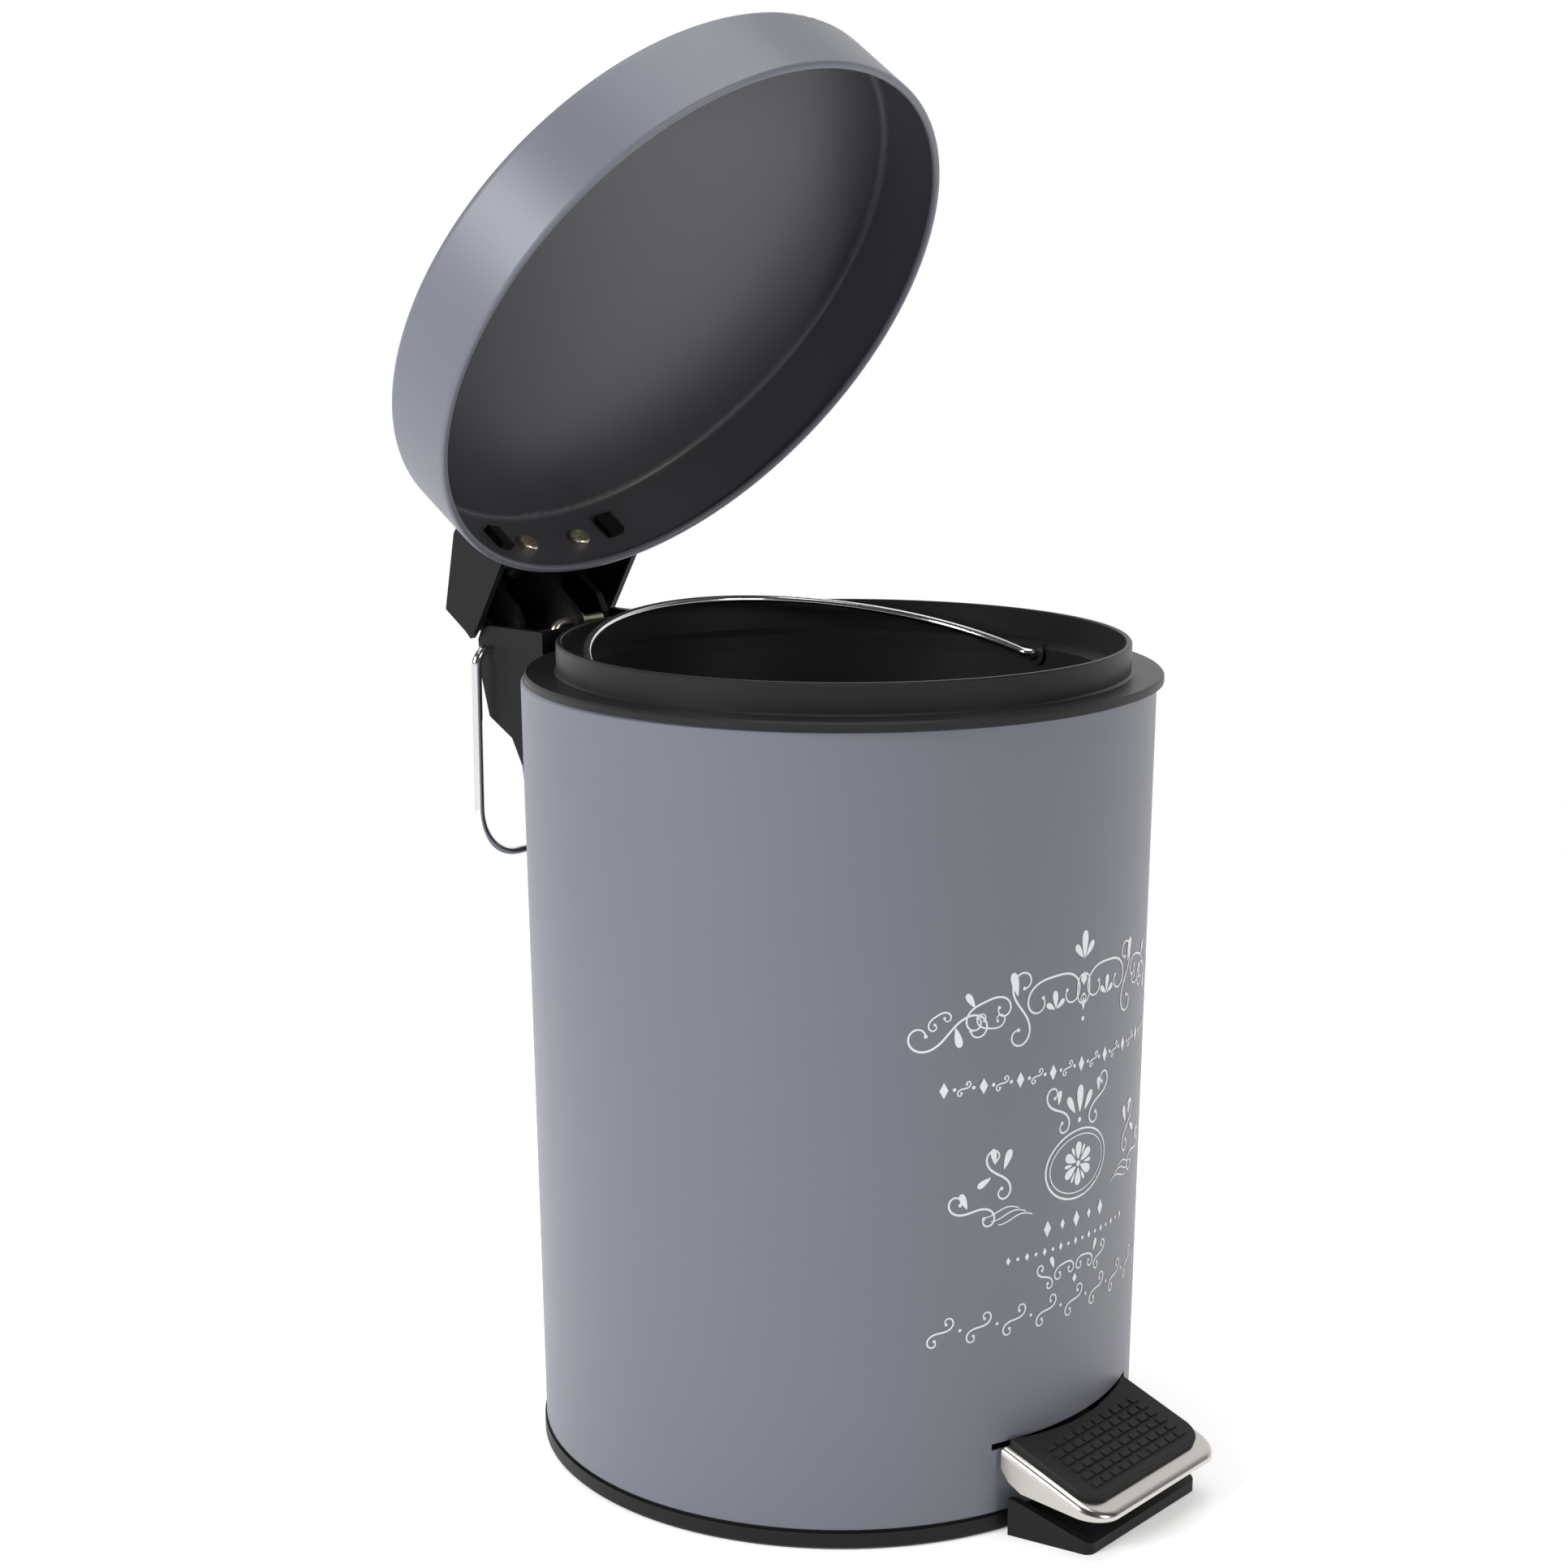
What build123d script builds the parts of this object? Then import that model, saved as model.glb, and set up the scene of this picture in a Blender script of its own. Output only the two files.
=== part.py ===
from build123d import *
from math import asin, cos, degrees, radians, sin, sqrt, tan
import os

# Three-litre pedal bin, in millimetres, stored with its lid open.
# Origin: centre of the base's underside. +Z is up, the pedal faces -Y, the lid hinge is at +Y.

# ---- Body shell: a slightly tapered steel tube ----
SHELL_TOP_R = 85.0
SHELL_TAPER = 3.2          # how much narrower the foot is
SHELL_FOOT_Z = 5.4
SHELL_HEIGHT = 207.4
SHEET = 0.6                # steel sheet of shell and lid
HEM_WIDTH = 1.6            # rolled edge at the mouth
HEM_DEPTH = 3.0

# ---- Fits ----
GAP = 0.3                  # between pieces that pass each other
SEAT_GAP = 0.2             # under the bucket's flange
RUN_FIT = 0.08             # radial, turning fits
TIGHT_FIT = 0.02           # radial, fixed pins and screws

# ---- Base ----
BASE_FLOOR = 2.2
BASE_LIP = 0.5             # how far the foot ring stands out past the shell
RING_HEIGHT = 4.6
SPIGOT_TOP = 14.0          # wall that plugs into the shell
SPIGOT_WALL = 1.6
LEVER_ROOM = 1.5           # beside the lever in the spigot's rear notch
TONGUE_REACH = 21.4        # foot guard under the pedal, past the shell
TONGUE_ROOT_HALF = 28.8
TONGUE_TIP_HALF = 25.0
TONGUE_ROOT_TOP = 10.0
TONGUE_TIP_TOP = 3.0
TONGUE_WALL = 2.0
TONGUE_FLOOR = 1.6
TONGUE_CORNER = 2.5

# ---- Pedal ----
AXLE_R = 2.0
AXLE_INSET = 21.8          # axle behind the front of the shell's foot
AXLE_Z = 14.0
AXLE_HALF = 14.2
EAR_IN = 9.2               # base ears that carry the axle
EAR_WALL = 3.0
EAR_R = 5.0
CLIP_R = 4.2
CLIP_WALL = 0.7
GROOVE_DEPTH = 0.45
LEVER_HALF = 8.0
LEVER_SHEET = 1.5
PEDAL_HALF = 29.0
PEDAL_SLOPE = 20.0
PEDAL_REAR_Z = 23.6        # top of the cover where it meets the shell
PEDAL_LENGTH = 33.4        # along the slope
PEDAL_CORNER = 8.0
PEDAL_SHELL_GAP = 1.2
COVER_SHEET = 0.8
COVER_EDGE_R = 2.0
PEDAL_UNDER_SHELL = 3.8    # the slope starts this far behind the shell's front
SKIRT_REAR_Z = 12.6        # cover's lower edge, 6 in front of the slope's start
SKIRT_FRONT_Z = 10.2
SKIRT_REAR_EDGE = ((9, 1.6), (2, 3.2), (0, 6.2), (-2.2, 9))   # side's rear outline: (behind, below) it
PAD_SIDE = 2.6             # chromed border left showing around the pad
PAD_FRONT = 5.6
PAD_THICK = 1.8
PAD_CORNER = 6.5
TREAD = (3.3, 1.9, 0.5)    # one raised block: across, along, high
TREAD_PITCH = (4.3, 3.1)
TREAD_COUNT = (10, 6)
RIVET_R = 1.5
RIVET_HEAD_R = 2.8
RIVET_HEAD = 1.1
RIVET_AT = (9.0, 19.0)     # down the slope from the rear edge
SLOT_HALF = 12.0           # lever's opening in the shell
SLOT_LOW = 15.0
SLOT_TOP = 24.4
SLIT_HALF = 30.6           # narrow slit along the opening's top
SLIT_TALL = 1.8

# ---- Hinge, lid and lid bracket ----
HINGE_REACH = 22.5         # hinge axis behind the shell's mouth
HINGE_DROP = 0.3           # hinge axis below the shell's mouth
LID_OPEN = 54.5            # degrees between closed and the stored pose
PIN_R = 1.5
PIN_HALF = 22.4
LID_OVER = 0.6             # lid radius past the shell's mouth
LID_SEAT = 3.7             # lid rim above the shell's mouth, when closed
LID_DEPTH = 24.8
LID_EDGE_R = 2.5
LID_HEM_R = 1.1            # rolled rim
BRACKET_HALF = 28.6
BRACKET_WALL = 2.0
BRACKET_BACK = 0.3         # wedge's rear face past the hinge axis
BRACKET_LOW = 4.4          # wedge's lower edge above the lid's rim
STRAP_PLAY = 0.6           # back straps above the turning knuckles
KNUCKLE_R = 4.2
KNUCKLE_IN = 16.0
KNUCKLE_WALL = 2.5
ROD_RIB = (-7.1, -4.5)
SKIRT_GAP = 0.05
TAB = (5.4, 7.8, 2.2)      # wide, tall, depth inside the lid
TAB_X = 23.0
LID_SCREW_X = 10.8
SCREW_R = 1.5
SCREW_HEAD_R = 3.2
SCREW_HEAD = 1.9
SCREW_LENGTH = 9.0
SCREW_BOSS_R = 3.1
CROSS = (0.7, 4.2, 0.9)    # screw recess: slot width, slot length, depth

# ---- Fixed hinge bracket on the shell ----
CHEEK_OUT = 26.0
CHEEK_WALL = 2.5
BOSS_IN = 19.8
BRACKET_PAD = 2.5          # mounting wall against the shell
FIXED_SCREW_Z = (16.8, 52.8)   # below the shell's mouth
FIXED_SCREW_X = 20.8
FIXED_LOW = 66.0           # bracket's lower end below the shell's mouth
CROSS_STRAP = (1.9, 1.5)   # gap to the shell and thickness of the strap between the cheeks
# Rear outline of a cheek, from the top down: (in front of the rear, above the shell's mouth)
CHEEK_OUTLINE = ((3.5, 6.2), (0.4, 5), (-1, 2), (0, -8.8), (3, -20), (12, -25.4), (16, -33), (20, -60))
# The same for the hollow between the cheeks
HOLLOW_OUTLINE = ((-9, 9), (-9, -6.5), (2.5, -6.5), (2.5, -8.5), (5.2, -18.4), (14, -23.6),
                  (18.4, -32), (22.2, -58))

# ---- Pull rod ----
ROD_R = 1.4
ROD_X = -13.0
ROD_LOBE = 2.4             # plastic round the hook's hole
ROD_CLIP = (1.3, 1.4)      # ring's wall and length
ROD_ARM = 15.0             # hook to hinge axis
ROD_ARM_ANGLE = 27.0       # above horizontal in the stored pose
ROD_LOW_INSET = 7.8        # rod's centre inside the shell's foot radius
ROD_LOW_Z = 24.0
ROD_TOP_END = 6.0
ROD_LOW_END = -4.0
ROD_HOOK_R = 3.2
ROD_JOG_DROP = (44.8, 8.8)    # jog's lower and upper end below the shell's mouth
ROD_JOG_R = 15.0
ROD_SLOT_HALF = 4.0
ROD_SLOT_DROP = (50.0, 14.0)
EYE_LENGTH = 7.8           # slotted eye at the lever's rear end
EYE_SHIFT = 0.35
EYE_PLAY = 0.75
EYE_RIM = 1.5

# ---- Carry handle ----
HANDLE_R = 1.45
HANDLE_X = 31.2
HANDLE_DROP = 61.0
HANDLE_END = 22.9          # where the turned-in ends stop
HANDLE_BEND = 4.6
HANDLE_CORNER = 15.0

# ---- Inner bucket and its handle ----
BUCKET_SHIFT = -1.8        # loose bucket sits a little forward
FLANGE_OVER = 0.4
FLANGE = 2.1
COLLAR_INSET = 8.2
COLLAR_HEIGHT = 8.1
BUCKET_NECK = 3.8          # step from collar to body
BUCKET_TAPER = 5.0
BUCKET_WALL = 1.5
BUCKET_LOW_Z = 33.0
BAIL_R = 1.3
BAIL_INSET = 5.5           # bail radius inside the bucket body
BAIL_DROP = 0.8            # pivot below the shell's mouth
BAIL_TILT = 10.9
BAIL_TURN = -11.7
BAIL_BEND = 2.6

# ---- Places that follow from the sizes above ----
FOOT_R = SHELL_TOP_R - SHELL_TAPER
MOUTH_Z = SHELL_FOOT_Z + SHELL_HEIGHT
HINGE_Y = SHELL_TOP_R + HINGE_REACH
HINGE_Z = MOUTH_Z - HINGE_DROP
LID_R = SHELL_TOP_R + LID_OVER
LID_Z = MOUTH_Z + LID_SEAT
AXLE_Y = AXLE_INSET - FOOT_R
HOOK_Y = HINGE_Y - ROD_ARM * cos(radians(ROD_ARM_ANGLE))
HOOK_Z = HINGE_Z + ROD_ARM * sin(radians(ROD_ARM_ANGLE))
ROD_LOW_Y = FOOT_R - ROD_LOW_INSET
NECK_R = SHELL_TOP_R - COLLAR_INSET - BUCKET_NECK
BAIL_Z = MOUTH_Z - BAIL_DROP


def shell_r(z):
    """Outer radius of the shell at a height."""
    return SHELL_TOP_R - SHELL_TAPER * (MOUTH_Z - z) / SHELL_HEIGHT


def turned(points):
    """Solid of revolution about Z from (radius, height) points."""
    outline = Polyline(*[(r, 0, z) for r, z in points], close=True)
    return revolve(make_face(outline), Axis.Z, 360)


def across(points, x_from, x_to):
    """Prism of a (y, z) outline between two x positions."""
    outline = Polyline(*[(x_from, y, z) for y, z in points], close=True)
    return extrude(make_face(outline), amount=x_to - x_from, dir=(1, 0, 0))


def block(x, y, z):
    """Box from three (low, high) pairs."""
    size = [high - low for low, high in (x, y, z)]
    middle = [(low + high) / 2 for low, high in (x, y, z)]
    return Pos(*middle) * Box(*size)


def bar_x(radius, x_from, x_to, y, z):
    """Round bar along X."""
    return Pos((x_from + x_to) / 2, y, z) * Rot(0, 90, 0) * Cylinder(radius, x_to - x_from)


def bar_y(radius, y_from, y_to, x, z):
    """Round bar along Y."""
    return Pos(x, (y_from + y_to) / 2, z) * Rot(90, 0, 0) * Cylinder(radius, y_to - y_from)


def round_wire(path, radius):
    """Wire of round section along a path."""
    return sweep(Plane(origin=path @ 0, z_dir=path % 0) * Circle(radius), path=path)


def opened(piece):
    """Swing a piece modelled on the closed lid to the stored pose."""
    return piece.rotate(Axis((0, HINGE_Y, HINGE_Z), (-1, 0, 0)), LID_OPEN)


def both_sides(piece):
    """The piece and its mirror image across X = 0."""
    return piece + mirror(piece, about=Plane.YZ)


def at_angle(piece, x, radius):
    """Turn a piece on the +Y side about Z until its centre is at x on that radius."""
    return Rot(0, 0, -degrees(asin(x / radius))) * piece


def fixed_screw_places():
    """(height, surface radius) of each pair of bracket screws."""
    return [(MOUTH_Z - drop, shell_r(MOUTH_Z - drop)) for drop in FIXED_SCREW_Z]


def body_shell():
    shell = turned([
        (FOOT_R, SHELL_FOOT_Z), (SHELL_TOP_R, MOUTH_Z - SHEET), (SHELL_TOP_R - SHEET, MOUTH_Z),
        (SHELL_TOP_R - HEM_WIDTH, MOUTH_Z), (SHELL_TOP_R - HEM_WIDTH, MOUTH_Z - HEM_DEPTH),
        (shell_r(MOUTH_Z - HEM_DEPTH) - SHEET, MOUTH_Z - HEM_DEPTH), (FOOT_R - SHEET, SHELL_FOOT_Z)])
    front = (-SHELL_TOP_R, -FOOT_R / 2)
    shell -= block((-SLOT_HALF, SLOT_HALF), front, (SLOT_LOW, SLOT_TOP))
    shell -= block((-SLIT_HALF, SLIT_HALF), front, (SLOT_TOP - SLIT_TALL, SLOT_TOP))
    shell -= block((ROD_X - ROD_SLOT_HALF, ROD_X + ROD_SLOT_HALF), (FOOT_R / 2, SHELL_TOP_R + GAP),
                   (MOUTH_Z - ROD_SLOT_DROP[0], MOUTH_Z - ROD_SLOT_DROP[1]))
    for z, radius in fixed_screw_places():
        hole = bar_y(SCREW_R + TIGHT_FIT, radius - 5, radius + 5, 0, z)
        shell -= both_sides(at_angle(hole, FIXED_SCREW_X, radius))
    return shell


def foot_tongue():
    """Shallow tray under the pedal."""
    tip = -(FOOT_R + TONGUE_REACH)
    root = -(FOOT_R - SPIGOT_WALL)
    inner_tip = tip + TONGUE_WALL

    def plan(inset, tip_y, z_from):
        corners = [(-TONGUE_ROOT_HALF + inset, root), (-TONGUE_TIP_HALF + inset, tip_y),
                   (TONGUE_TIP_HALF - inset, tip_y), (TONGUE_ROOT_HALF - inset, root)]
        return Pos(0, 0, z_from) * extrude(make_face(Polyline(*corners, close=True)), amount=TONGUE_ROOT_TOP)

    tray = plan(0, tip, 0)
    front = tray.edges().filter_by(Axis.Z).group_by(Axis.Y)[0]
    tray = fillet(front, TONGUE_CORNER)
    tray &= across([(root, 0), (tip, 0), (tip, TONGUE_TIP_TOP), (-FOOT_R, TONGUE_ROOT_TOP),
                    (root, TONGUE_ROOT_TOP)], -TONGUE_ROOT_HALF, TONGUE_ROOT_HALF)
    tray -= plan(TONGUE_WALL, inner_tip, TONGUE_FLOOR)
    room = turned([(0, SHELL_FOOT_Z - GAP), (FOOT_R + GAP, SHELL_FOOT_Z - GAP),
                   (shell_r(SLOT_TOP) + GAP, SLOT_TOP), (0, SLOT_TOP)])
    return tray - room


def base():
    ring_r = FOOT_R + BASE_LIP
    spigot_r = FOOT_R - SHEET - GAP
    ledge_r = FOOT_R - GAP
    pan = turned([
        (0, 0), (ring_r - 0.8, 0), (ring_r, 0.8), (ring_r, RING_HEIGHT), (ledge_r, RING_HEIGHT),
        (ledge_r, SHELL_FOOT_Z), (spigot_r, SHELL_FOOT_Z), (spigot_r, SPIGOT_TOP),
        (spigot_r - SPIGOT_WALL, SPIGOT_TOP), (spigot_r - SPIGOT_WALL, BASE_FLOOR), (0, BASE_FLOOR)])
    pan -= block((-SLOT_HALF, SLOT_HALF), (-SHELL_TOP_R, -FOOT_R / 2), (SHELL_FOOT_Z, SPIGOT_TOP))
    notch = LEVER_HALF + LEVER_ROOM
    pan -= block((-notch, notch), (FOOT_R / 2, SHELL_TOP_R), (SHELL_FOOT_Z, SPIGOT_TOP))
    ear = block((EAR_IN, EAR_IN + EAR_WALL), (AXLE_Y - EAR_R, AXLE_Y + EAR_R), (BASE_FLOOR, AXLE_Z))
    ear += bar_x(EAR_R, EAR_IN, EAR_IN + EAR_WALL, AXLE_Y, AXLE_Z)
    ear -= bar_x(AXLE_R + TIGHT_FIT, EAR_IN, EAR_IN + EAR_WALL, AXLE_Y, AXLE_Z)
    return pan + foot_tongue() + both_sides(ear)


def clip_from():
    """Inner face of the clip on the axle's end."""
    return EAR_IN + EAR_WALL + GAP


def pedal_axle():
    axle = bar_x(AXLE_R, -AXLE_HALF, AXLE_HALF, AXLE_Y, AXLE_Z)
    start = clip_from()
    groove = bar_x(AXLE_R + 1, start, start + CLIP_WALL, AXLE_Y, AXLE_Z)
    groove -= bar_x(AXLE_R - GROOVE_DEPTH, start, start + CLIP_WALL, AXLE_Y, AXLE_Z)
    return axle - both_sides(groove)


def axle_clips():
    start = clip_from()
    clip = bar_x(CLIP_R, start, start + CLIP_WALL, AXLE_Y, AXLE_Z)
    clip -= bar_x(AXLE_R - GROOVE_DEPTH, start, start + CLIP_WALL, AXLE_Y, AXLE_Z)
    mouth = AXLE_R - GROOVE_DEPTH - 0.3
    clip -= block((start, start + CLIP_WALL), (AXLE_Y - mouth, AXLE_Y + mouth),
                  (AXLE_Z, AXLE_Z + CLIP_R))
    return both_sides(clip)


PEDAL_REAR_Y = PEDAL_UNDER_SHELL - shell_r(PEDAL_REAR_Z)
PEDAL_PLANE = Plane(origin=(0, PEDAL_REAR_Y, PEDAL_REAR_Z), x_dir=(1, 0, 0),
                    z_dir=(0, -sin(radians(PEDAL_SLOPE)), cos(radians(PEDAL_SLOPE))))


def pedal_z(y, below=0.0):
    """Height of the pedal's top plane at y, or of a plane that far below it."""
    slope = radians(PEDAL_SLOPE)
    return PEDAL_REAR_Z + (y - PEDAL_REAR_Y) * tan(slope) - below / cos(slope)


def pedal_slab(half, front, corner, top, bottom):
    """Plate on the pedal's plane with two rounded front corners."""
    rear = 6.0
    plate = make_face(Polyline((-half, rear), (-half, -front), (half, -front), (half, rear), close=True))
    plate = fillet(plate.vertices().group_by(Axis.Y)[0], corner)
    return extrude(Pos(0, 0, bottom) * plate, amount=top - bottom)


def shell_room(extra):
    """Space that the shell needs at the pedal, as a cutter."""
    return turned([(0, 0), (shell_r(0) + extra, 0), (shell_r(40) + extra, 40), (0, 40)])


def at_rivets(piece):
    """Copies of a piece at the rivets, placed on the pedal's plane."""
    row = [Pos(0, -down, 0) * piece for down in RIVET_AT]
    return PEDAL_PLANE * Compound(children=row)


def pedal_cover():
    cover = pedal_slab(PEDAL_HALF, PEDAL_LENGTH, PEDAL_CORNER, 0, -16)
    top_rim = cover.faces().sort_by(Axis.Z)[-1].edges().sort_by(Axis.Y)[:-1]
    cover = fillet(top_rim, COVER_EDGE_R)
    cover -= pedal_slab(PEDAL_HALF - COVER_SHEET, PEDAL_LENGTH - COVER_SHEET, PEDAL_CORNER - COVER_SHEET,
                        -COVER_SHEET, -17)
    cover = PEDAL_PLANE * cover - at_rivets(Cylinder(RIVET_R + TIGHT_FIT, 4))
    front = PEDAL_REAR_Y - PEDAL_LENGTH - 5
    rear = [(PEDAL_REAR_Y + behind, PEDAL_REAR_Z - down) for behind, down in SKIRT_REAR_EDGE]
    outline = [(front, -9), (rear[0][0], -9), *rear, (PEDAL_REAR_Y - 6, SKIRT_REAR_Z), (front, SKIRT_FRONT_Z)]
    below = across(outline, -PEDAL_HALF - 1, PEDAL_HALF + 1)
    return cover - below - shell_room(PEDAL_SHELL_GAP)


def pedal_pad():
    half = PEDAL_HALF - PAD_SIDE
    pad = pedal_slab(half, PEDAL_LENGTH - PAD_FRONT, PAD_CORNER, PAD_THICK, 0)
    pad = fillet(pad.faces().sort_by(Axis.Z)[-1].edges().sort_by(Axis.Y)[:-1], 0.8)
    rows_from = PEDAL_LENGTH - PAD_FRONT - 4.2 - TREAD_PITCH[1] * (TREAD_COUNT[1] - 1) / 2
    middle = Pos(0, -rows_from, PAD_THICK + TREAD[2] / 2)
    pad += [middle * place * Box(*TREAD) for place in GridLocations(*TREAD_PITCH, *TREAD_COUNT)]
    return PEDAL_PLANE * pad - shell_room(PEDAL_SHELL_GAP)


def pedal_rivets():
    """Flush rivets that hold the cover to the lever."""
    stack = COVER_SHEET + LEVER_SHEET
    shank = Pos(0, 0, -stack / 2) * Cylinder(RIVET_R, stack)
    head = Pos(0, 0, -stack - RIVET_HEAD / 2) * Cylinder(RIVET_HEAD_R, RIVET_HEAD)
    return at_rivets(shank + head)


def eye_middle():
    """Middle of the slotted eye at the lever's rear end."""
    return ROD_LOW_Y + EYE_SHIFT


def pedal_lever():
    tip = PEDAL_REAR_Y - PEDAL_LENGTH * 0.8
    saddle = PEDAL_REAR_Y - 1.5
    tail = eye_middle() + EYE_LENGTH / 2 + EYE_RIM - 0.5
    tail_z = ROD_LOW_Z - ROD_R - EYE_PLAY - 0.6
    pivot_top = AXLE_Z + EAR_R - 0.6
    top = [(tip, pedal_z(tip, COVER_SHEET)), (saddle, pedal_z(saddle, COVER_SHEET)),
           (AXLE_Y - 8, pivot_top + 0.8), (AXLE_Y + 6, pivot_top), (tail, tail_z)]
    low = [(tip, pedal_z(tip, COVER_SHEET + LEVER_SHEET)),
           (saddle, pedal_z(saddle, COVER_SHEET + LEVER_SHEET))]
    low += [(y, z - LEVER_SHEET) for y, z in top[2:]]
    strip = across(top + low[::-1], -LEVER_HALF, LEVER_HALF)
    strip -= at_rivets(Cylinder(RIVET_R + TIGHT_FIT, 12))
    side = (LEVER_HALF - LEVER_SHEET, LEVER_HALF)
    ear = block(side, (AXLE_Y - EAR_R, AXLE_Y + EAR_R), (AXLE_Z, pivot_top - LEVER_SHEET / 2))
    ear += bar_x(EAR_R - 0.4, *side, AXLE_Y, AXLE_Z)
    strip += both_sides(ear)
    strip -= bar_x(AXLE_R + RUN_FIT, -LEVER_HALF, LEVER_HALF, AXLE_Y, AXLE_Z)
    return strip + lever_eye()


def lever_eye():
    """Upturned lug with the slot that the pull rod's lower hook works in."""
    x_from = -LEVER_HALF
    x_to = x_from + LEVER_SHEET
    slot_r = ROD_R + EYE_PLAY
    half = EYE_LENGTH / 2
    middle = eye_middle()

    def long_hole(radius, span):
        hole = block((x_from, x_to), (middle - span, middle + span), (ROD_LOW_Z - radius, ROD_LOW_Z + radius))
        for y in (middle - span, middle + span):
            hole += bar_x(radius, x_from, x_to, y, ROD_LOW_Z)
        return hole

    span = half - slot_r
    foot_z = ROD_LOW_Z - slot_r - LEVER_SHEET
    lug = long_hole(slot_r + EYE_RIM, span)
    lug += block((x_from, x_to), (middle - half - EYE_RIM, middle + half), (foot_z, ROD_LOW_Z - slot_r))
    return lug - long_hole(slot_r, span)


def lid_shell():
    inner_r = LID_R - SHEET
    wall_z = LID_Z + LID_HEM_R
    depth = LID_DEPTH - LID_HEM_R
    cap = Pos(0, 0, wall_z + depth / 2) * Cylinder(LID_R, depth)
    cap = fillet(cap.edges().sort_by(Axis.Z)[-1], LID_EDGE_R)
    hollow = Pos(0, 0, wall_z + (depth - SHEET) / 2) * Cylinder(inner_r, depth - SHEET)
    hollow = fillet(hollow.edges().sort_by(Axis.Z)[-1], LID_EDGE_R - SHEET)
    cap = cap - hollow + Pos(0, 0, wall_z) * Torus(LID_R - LID_HEM_R - TIGHT_FIT, LID_HEM_R)
    for x in (-TAB_X, TAB_X):
        cap -= at_angle(tab_block(GAP / 2), x, LID_R)
    for x in (-LID_SCREW_X, LID_SCREW_X):
        hole = bar_y(SCREW_R + TIGHT_FIT, LID_R - 5, LID_R + 5, 0, lid_screw_z())
        cap -= at_angle(hole, x, LID_R)
    return opened(cap)


def lid_screw_z():
    return LID_Z + LID_DEPTH / 2 - 0.5


def tab_block(extra):
    """Tab through the lid's skirt, or its slot with room added all round."""
    half = TAB[0] / 2 + extra
    tall = TAB[1] / 2 + extra
    middle = lid_screw_z() + 1.2
    return block((-half, half), (LID_R - SHEET - TAB[2] - extra, LID_R + BRACKET_WALL / 2),
                 (middle - tall, middle + tall))


def wedge_outline(inset):
    """Side view of the lid bracket, closed: (y, z) points, moved in by the wall."""
    rear = HINGE_Y + BRACKET_BACK - inset
    top = LID_Z + LID_DEPTH - 1.0 - inset
    low = LID_Z + BRACKET_LOW - 0.1
    return [(SHELL_TOP_R - 9, top), (HINGE_Y - 20.2, top), (rear, LID_Z + 14.2 - inset * 1.1),
            (rear, low), (SHELL_TOP_R - 9, low)]


def lid_bracket():
    skirt = turned([(0, LID_Z - 9), (LID_R + SKIRT_GAP, LID_Z - 9), (LID_R + SKIRT_GAP, LID_Z + 40),
                    (0, LID_Z + 40)])
    inner = BRACKET_HALF - BRACKET_WALL
    body = across(wedge_outline(0), -BRACKET_HALF, BRACKET_HALF)
    body -= across(wedge_outline(BRACKET_WALL), -inner, inner)
    plate = turned([(LID_R, LID_Z + 3), (LID_R + BRACKET_WALL, LID_Z + 3),
                    (LID_R + BRACKET_WALL, LID_Z + LID_DEPTH - 2.4), (LID_R, LID_Z + LID_DEPTH - 2.4)])
    body += plate & block((-inner - 1, inner + 1), (0, HINGE_Y), (LID_Z, LID_Z + LID_DEPTH))
    rear = HINGE_Y + BRACKET_BACK
    low = LID_Z + BRACKET_LOW
    cheek = [(SHELL_TOP_R - 9, low), (HINGE_Y - 4, low - 3), (rear + 0.4, low - 2.8), (rear, low)]
    body += both_sides(across(cheek, inner, BRACKET_HALF))
    straps = ((CHEEK_OUT - CHEEK_WALL - GAP, KNUCKLE_R), (BOSS_IN - 1.5 * GAP, PIN_R + GAP))
    for half, knuckle in straps:
        body += block((-half, half), (rear - BRACKET_WALL, rear), (HINGE_Z + knuckle + STRAP_PLAY, low + 0.6))
    body += both_sides(knuckle_rib(KNUCKLE_IN, KNUCKLE_IN + KNUCKLE_WALL)) + rod_rib()
    for x in (-LID_SCREW_X, LID_SCREW_X):
        boss = bar_y(SCREW_BOSS_R, LID_R, LID_R + SCREW_LENGTH, 0, lid_screw_z())
        body += at_angle(boss, x, LID_R)
    body -= skirt
    for x in (-LID_SCREW_X, LID_SCREW_X):
        bore = bar_y(SCREW_R + TIGHT_FIT, LID_R - 5, LID_R + SCREW_LENGTH + 0.5, 0, lid_screw_z())
        body -= at_angle(bore, x, LID_R)
    for x in (-TAB_X, TAB_X):
        body += at_angle(tab_block(0), x, LID_R)
    return opened(body)


def rib_web(front, x_from, x_to):
    """Web of a rib up under the bracket's sloping top, from its front edge back."""
    top = LID_Z + LID_DEPTH - 2.8
    web = across([(LID_R, LID_Z + 4.5), (LID_R, top), (HINGE_Y - 18, top),
                  (HINGE_Y - 1, LID_Z + 13.2), (HINGE_Y - 1, LID_Z + 4.5)], x_from, x_to)
    return web & block((x_from, x_to), (front, HINGE_Y), (LID_Z, LID_Z + LID_DEPTH))


def knuckle_rib(x_from, x_to):
    """Rib that carries the lid on the hinge pin."""
    front = HINGE_Y - 10.8
    rib = rib_web(front, x_from, x_to)
    rib += across([(front, LID_Z + 5), (front, LID_Z + 1.2), (HINGE_Y - 8.3, HINGE_Z), (HINGE_Y - 3, HINGE_Z - 3),
                   (HINGE_Y + 3.4, HINGE_Z + 2), (HINGE_Y - 1, LID_Z + 5)], x_from, x_to)
    rib += bar_x(KNUCKLE_R, x_from, x_to, HINGE_Y, HINGE_Z)
    return rib - bar_x(PIN_R + RUN_FIT, x_from, x_to, HINGE_Y, HINGE_Z)


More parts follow.
